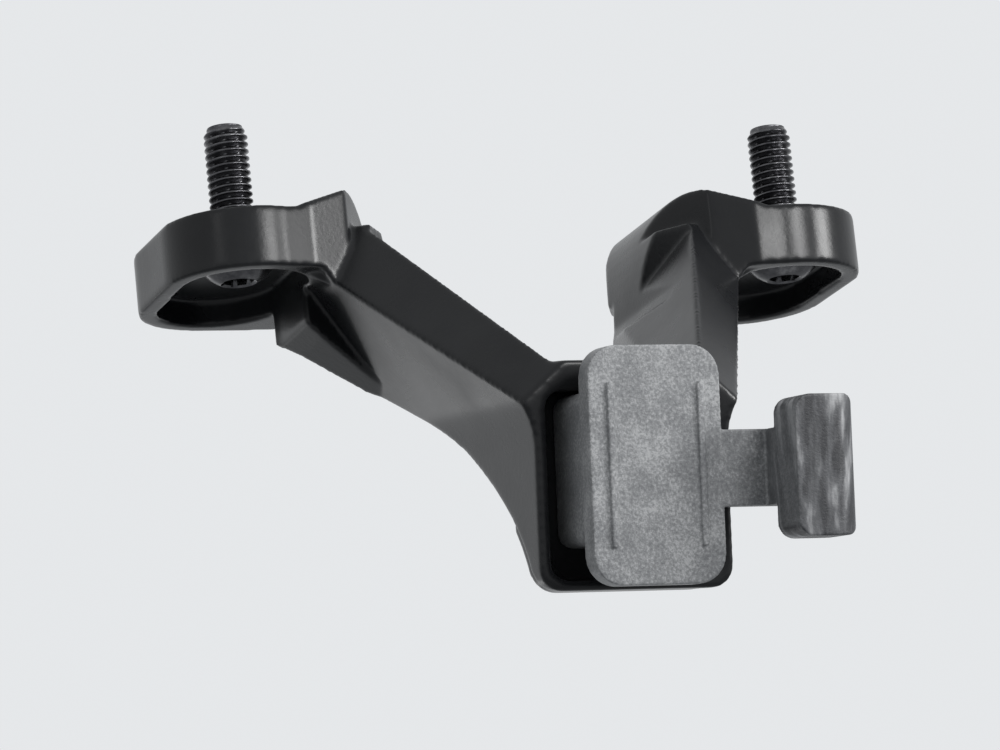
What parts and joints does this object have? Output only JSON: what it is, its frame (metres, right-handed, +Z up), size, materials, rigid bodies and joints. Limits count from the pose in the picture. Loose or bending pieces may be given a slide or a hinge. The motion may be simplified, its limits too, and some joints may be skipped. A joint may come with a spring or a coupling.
{
  "type": "saddle accessory mount",
  "caption": "Black moulded Y-shaped bracket that screws under a bicycle saddle by its pocketed ears and carries a grained shoe with a raised plate and a side release pad.",
  "frame": {"origin": "midway between the two ear screws' axes, on the ears' mounting face", "axes": "+Z up along the screws into the saddle, +X to the rider's right, -Y rearward"},
  "size_m": [0.0504, 0.0391, 0.037],
  "materials": {
    "bracket_black": "satin black moulded nylon",
    "shoe_grey": "fine-grained charcoal moulding",
    "screw_steel": "blackened steel, slightly worn"
  },
  "bodies": {
    "root": {"bracket": "bracket_black", "shoe": "shoe_grey", "ear_screw_left": "screw_steel", "ear_screw_right": "screw_steel"}
  },
  "joints": []
}
